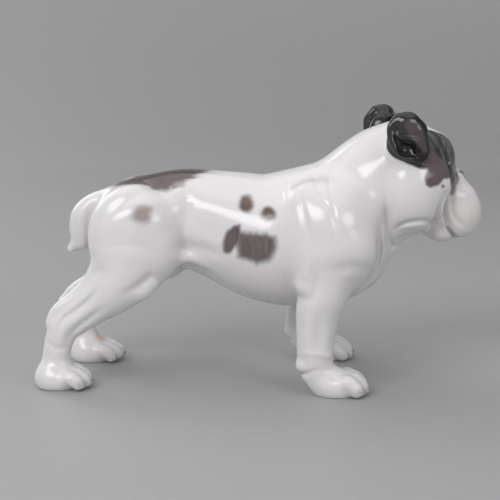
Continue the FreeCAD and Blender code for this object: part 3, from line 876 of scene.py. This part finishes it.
def paint_body(colours, x, y, z, rough):
    """The patch across the back, and the markings of the right side."""
    right = fade(y + 6, 4)
    streak = noise(np.stack([x / 5, y, z], 1), 1.6, 3)
    top = fade(70 - z, 6)
    back = round_gap(x, y, *BACK_PATCH) + 1.2 * streak + 0.8 * rough
    lay(colours, BROWN_GREY, 0.92 * fade(back, 3.2) * top)
    shade = round_gap(x, y, *BACK_SHADE) + 1.5 * streak
    lay(colours, DARK_BROWN, 0.6 * fade(shade, 5) * top)
    haunch = round_gap(x, z, *HAUNCH_PATCH) + 1.0 * rough
    lay(colours, PALE_BROWN, 0.75 * right * fade(haunch, 4.0))
    for spot in RIB_SPOTS:
        gap = round_gap(x, z, *spot) + 0.6 * rough
        lay(colours, SPOT_BROWN, 0.93 * right * fade(gap, 2.6))
    strokes = noise(np.stack([x, y, z / 5], 1), 1.4, 7)
    ribs = outline_gap(x, z, RIB_PATCH) + 0.6 * strokes + 0.4 * rough
    lay(colours, BROWN_GREY, (0.9 + 0.05 * strokes) * right * fade(ribs, 3.6))
    lobe = brush_gap((x, z), RIB_LOBE) + 0.4 * strokes
    lay(colours, BROWN_GREY, 0.93 * right * fade(lobe, 1.8))
    lay(colours, PALE_BROWN, 0.10 * right * fade(brush_gap((x, z), ELBOW_SHADE), 6))


def paint_mask(colours, x, out, z, right, rough):
    """The dark mask beside the white blaze, its brush strokes and the pale cheek patch."""
    blaze = np.where(right, 3.2 + 6.0 * fade(100 - z, 8), 2.6)
    mask = (fade(outline_gap(x, z, MASK) + 0.5 * rough, 1.3)
            * fade(blaze - out + 0.3 * rough, 1.2))
    cheek = fade(outline_gap(x, z, CHEEK_PATCH) + 0.5 * rough, 1.5)
    streaks = noise(np.stack([x, out, z / 5], 1), 1.5, 5)
    reach = np.where(right, 1, fade(94.5 - z + 1.6 * rough, 3))
    lay(colours, CHARCOAL, (0.92 + 0.06 * streaks) * mask * reach)
    for stroke in BROW_STROKES:
        lay(colours, BLACK, 0.75 * mask * fade(brush_gap((x, z), stroke), 1.8))
    lay(colours, MAUVE, 0.85 * cheek * right * fade(8 - out, 3))


def paint_ears(colours, points, x, out, z, rough):
    """Black ears with a wisp of black below, and the paler fold of each flap."""
    rise = np.max([points @ seam["facing"] - seam["start"]
                   for seam in SEAMS if seam["base"] == "head"], 0)
    ears = fade(0.2 - rise, 0.8) * fade(round_gap(x, z, *EARS), 1.2)
    wisp = brush_gap((x, z), EAR_WISP)
    ears = np.maximum(ears, fade(wisp + 0.4 * rough, 1.2) * fade(10 - out, 2))
    lay(colours, BLACK, 0.97 * ears)
    flap = fade(brush_gap((x, z), EAR_FLAP), 2.4)
    lay(colours, MAUVE, 0.6 * flap * fade(22.4 - out, 1.2))


def paint_features(colours, x, out, z, right):
    """Eyes, painted shade below them, rosy muzzle, nose, dark lip crease, right cheek's dot."""
    lay(colours, BLACK, fade(round_gap(x, z, *EYE), 1.0) * fade(4.8 - out, 1.6))
    # painted shade below the eye, in black
    lay(colours, BLACK, fade(brush_gap((x, z), EYE_SOCKET_SHADE), 0.9) * fade(6 - out, 2))
    lay(colours, ROSY, 0.4 * fade(round_gap(x, z, *MUZZLE), 8))
    lay(colours, CHARCOAL, 0.9 * fade(round_gap(x, z, *NOSE), 0.9) * fade(out - 4.8, 1.0))
    # darker along the crease at the edge of the lip
    lay(colours, CLAW, 0.6 * fade(brush_gap((x, z), LIP_CREASE_DARKENING), 1.3) * fade(3 - out, 2))
    lay(colours, CHARCOAL, 0.8 * right * fade(round_gap(x, z, *CHEEK_DOT), 0.8))


def paint_toes(colours, along, out, z, paw):
    """Brown claws, and the shade in the cleft beside each toe."""
    for sideways, short in TOES:
        tip = paw["stands"][0] + paw["toes"] - short
        toe = paw["stands"][1] + sideways
        claw = np.sqrt((along - tip) ** 2 + (out - toe) ** 2 + (z - 2.8) ** 2)
        lay(colours, CLAW, 0.6 * fade(claw - 1.2, 1.3))
        cleft = [(tip - 5.5, toe + 2.5, 6.2, 0.2), (tip - 1.4, toe + 2.5, 3.2, 0.5)]
        lay(colours, CLAW, 0.35 * fade(brush_gap((along, out, z), cleft), 1.2))


def paint_paws(colours, x, y, z):
    """Toes on every paw, and a tan spot on the left hind one."""
    for side in (-1, 1):
        for paw, lag in ((FRONT_PAW, FRONT_LAG), (HIND_PAW, HIND_LAG)):
            paint_toes(colours, *on_side(side, lag).local(x, y, z), paw)
    ahead, across, up = (value - middle for value, middle in zip((x, y, z), TAN_SPOT))
    gap = np.sqrt(ahead ** 2 + across ** 2 + (0.8 * up) ** 2)
    lay(colours, TAN, 0.6 * fade(gap - 2.8, 3.5))


def paint(points):
    """Colour, and how much glaze, at each point."""
    x, y, z = points.T
    colours = np.tile(np.array(WHITE), (len(points), 1))
    rough = noise(points, 4.5, 1) + 0.5 * noise(points, 1.9, 2)
    paint_body(colours, x, y, z, rough)
    along, out, height = HEAD.local(x, y, z)
    right = (half_head(-1).local(x, y, z)[1] > 0).astype(float)
    face = colours.copy()
    paint_mask(face, along, out, height, right, rough)
    paint_ears(face, points, along, out, height, rough)
    paint_features(face, along, out, height, right)
    ahead_of_neck = fade(43 - x, 1.0)
    colours += (face - colours) * ahead_of_neck[:, None]
    paint_paws(colours, x, y, z)
    bare = fade(z - 0.15, 0.2)
    lay(colours, BISCUIT, bare)
    return np.column_stack([colours, 1 - bare])


# ---------------------------------------------------------------- pieces and materials

PAINT = "paint"             # name of the colours on each mesh
BARE_ROUGHNESS = 0.65
GLAZED_ROUGHNESS = 0.14
GLAZE_IOR = 1.5


def porcelain(name):
    """Painted porcelain under clear glaze; bare and matt where the paint's alpha is 0."""
    material = bpy.data.materials.new(name)
    material.use_nodes = True
    nodes, links = material.node_tree.nodes, material.node_tree.links
    shader = nodes["Principled BSDF"]
    painted = nodes.new("ShaderNodeVertexColor")
    painted.layer_name = PAINT
    glaze = nodes.new("ShaderNodeMapRange")
    glaze.inputs["To Min"].default_value = BARE_ROUGHNESS
    glaze.inputs["To Max"].default_value = GLAZED_ROUGHNESS
    links.new(painted.outputs["Color"], shader.inputs["Base Color"])
    links.new(painted.outputs["Alpha"], glaze.inputs["Value"])
    links.new(glaze.outputs["Result"], shader.inputs["Roughness"])
    shader.inputs["IOR"].default_value = GLAZE_IOR
    return material


def plain(name, colour, roughness):
    """A material of one colour."""
    material = bpy.data.materials.new(name)
    material.use_nodes = True
    shader = material.node_tree.nodes["Principled BSDF"]
    shader.inputs["Base Color"].default_value = (*colour, 1)
    shader.inputs["Roughness"].default_value = roughness
    return material


# the slot of each piece, by the frame node that it stands for
PIECES = {name: "slip_joint" if name.endswith("slip") else "glazed_porcelain"
          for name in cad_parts}


def make_piece(castings, name, material):
    """One casting or slip joint as a smooth closed mesh that stands for its CAD node."""
    points, faces, normals = castings.piece(name)
    mesh = bpy.data.meshes.new(name + "_look")
    mesh.from_pydata((points * UNIT).tolist(), [], faces)
    mesh.shade_smooth()
    mesh.normals_split_custom_set(normals.tolist())
    colours = mesh.color_attributes.new(PAINT, "FLOAT_COLOR", "POINT")
    colours.data.foreach_set("color", paint(points).ravel().astype(np.float32))
    mesh.materials.append(material)
    piece = bpy.data.objects.new(name + "_look", mesh)
    bpy.context.scene.collection.objects.link(piece)
    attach(piece, "root")
    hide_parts(name)


def make_dog():
    sculpt()
    low = np.array(cad_low) / UNIT - MARGIN
    high = np.array(cad_high) / UNIT + MARGIN
    points, quads = net(survey(low, high), low)
    castings = Castings(settle(settle(points)), quads)
    materials = {"glazed_porcelain": porcelain("painted_glaze"),
                 "slip_joint": porcelain("slip_glaze")}
    for name, slot in PIECES.items():
        make_piece(castings, name, materials[slot])


# ---------------------------------------------------------------- stage, lights and camera

DOG_MIDDLE = (cad_low + cad_high) / 2
DOG_HEIGHT = cad_high.z - cad_low.z

# half of the floor's cross section in metres, from its centre up to the wall
BOWL = [(0.0, 0.0), (0.62, 0.0), (0.78, 0.015), (0.92, 0.06), (1.03, 0.14), (1.10, 0.26),
        (1.13, 0.42), (1.14, 1.0)]
BOWL_SIDES = 96
PALE_GREY = (0.40, 0.40, 0.405)
AIR = (1.0, 0.99, 1.0, 1)
AIR_STRENGTH = 0.06


def make_floor():
    """A pale floor that curves up into a wall all round."""
    profile = spline([(radius, rise) for radius, rise in BOWL], steps=6)
    angles = np.linspace(0, 2 * math.pi, BOWL_SIDES, endpoint=False)
    points = [(radius * math.cos(angle), radius * math.sin(angle), rise)
              for radius, rise in profile for angle in angles]
    faces = [(ring * BOWL_SIDES + step, ring * BOWL_SIDES + (step + 1) % BOWL_SIDES,
              (ring + 1) * BOWL_SIDES + (step + 1) % BOWL_SIDES, (ring + 1) * BOWL_SIDES + step)
             for ring in range(len(profile) - 1) for step in range(BOWL_SIDES)]
    mesh = bpy.data.meshes.new("studio_floor")
    mesh.from_pydata(points, [], faces)
    mesh.shade_smooth()
    mesh.materials.append(plain("pale_floor", PALE_GREY, 0.5))
    floor = bpy.data.objects.new("studio_floor", mesh)
    bpy.context.scene.collection.objects.link(floor)


def aim(thing, target):
    """Turns a lamp or camera to look at the target."""
    direction = Vector(target) - thing.location
    thing.rotation_euler = direction.to_track_quat("-Z", "Y").to_euler()


def softbox(name, place, size, power):
    """A rectangular lamp at a place given from the dog's middle, pointing at it."""
    lamp = bpy.data.lights.new(name, "AREA")
    lamp.shape = "RECTANGLE"
    lamp.size, lamp.size_y = size
    lamp.energy = power
    thing = bpy.data.objects.new(name, lamp)
    thing.location = DOG_MIDDLE + Vector(place)
    aim(thing, DOG_MIDDLE)
    bpy.context.scene.collection.objects.link(thing)


# softbox: place from the dog's middle and size in metres, power in watts
SOFTBOXES = {
    "key_softbox": ((-0.62, -0.92, 0.52), (0.90, 0.90), 15.5),
    "top_softbox": ((0.05, 0.10, 1.00), (1.60, 1.30), 6.5),
    "front_softbox": ((0.80, -0.80, 0.30), (0.50, 0.80), 5.0),
    "back_softbox": ((-0.75, 0.65, 0.45), (0.60, 0.80), 3.5),
}


def make_lights():
    """The softboxes, and a little light from all round them."""
    for name, (place, size, power) in SOFTBOXES.items():
        softbox(name, place, size, power)
    world = bpy.data.worlds.new("studio_air")
    bpy.context.scene.world = world
    world.use_nodes = True
    air = world.node_tree.nodes["Background"]
    air.inputs["Color"].default_value = AIR
    air.inputs["Strength"].default_value = AIR_STRENGTH
    bpy.context.scene.view_settings.view_transform = "Standard"


CAMERA_RISE = math.radians(10.5)
CAMERA_SWING = math.radians(2.0)
CAMERA_DISTANCE = 0.60      # metres
CAMERA_LENS = 96.12         # millimetres, on the sensor below
CAMERA_SENSOR = 36.0
CAMERA_BEHIND = 0.0036      # metres from the dog's middle back to where the camera looks
CAMERA_HEIGHT = 0.476       # where it looks, as a share of the dog's height


def make_camera():
    """The photographer's place: a little above the dog's right side."""
    target = Vector((DOG_MIDDLE.x - CAMERA_BEHIND, 0.0, CAMERA_HEIGHT * DOG_HEIGHT))
    back = Vector((math.sin(CAMERA_SWING) * math.cos(CAMERA_RISE),
                   -math.cos(CAMERA_SWING) * math.cos(CAMERA_RISE), math.sin(CAMERA_RISE)))
    lens = bpy.data.cameras.new("camera")
    lens.lens = CAMERA_LENS
    lens.sensor_width = CAMERA_SENSOR
    lens.clip_start = 0.01
    camera = bpy.data.objects.new("camera", lens)
    camera.location = target + CAMERA_DISTANCE * back
    aim(camera, target)
    bpy.context.scene.collection.objects.link(camera)
    bpy.context.scene.camera = camera


make_dog()
make_floor()
make_lights()
make_camera()
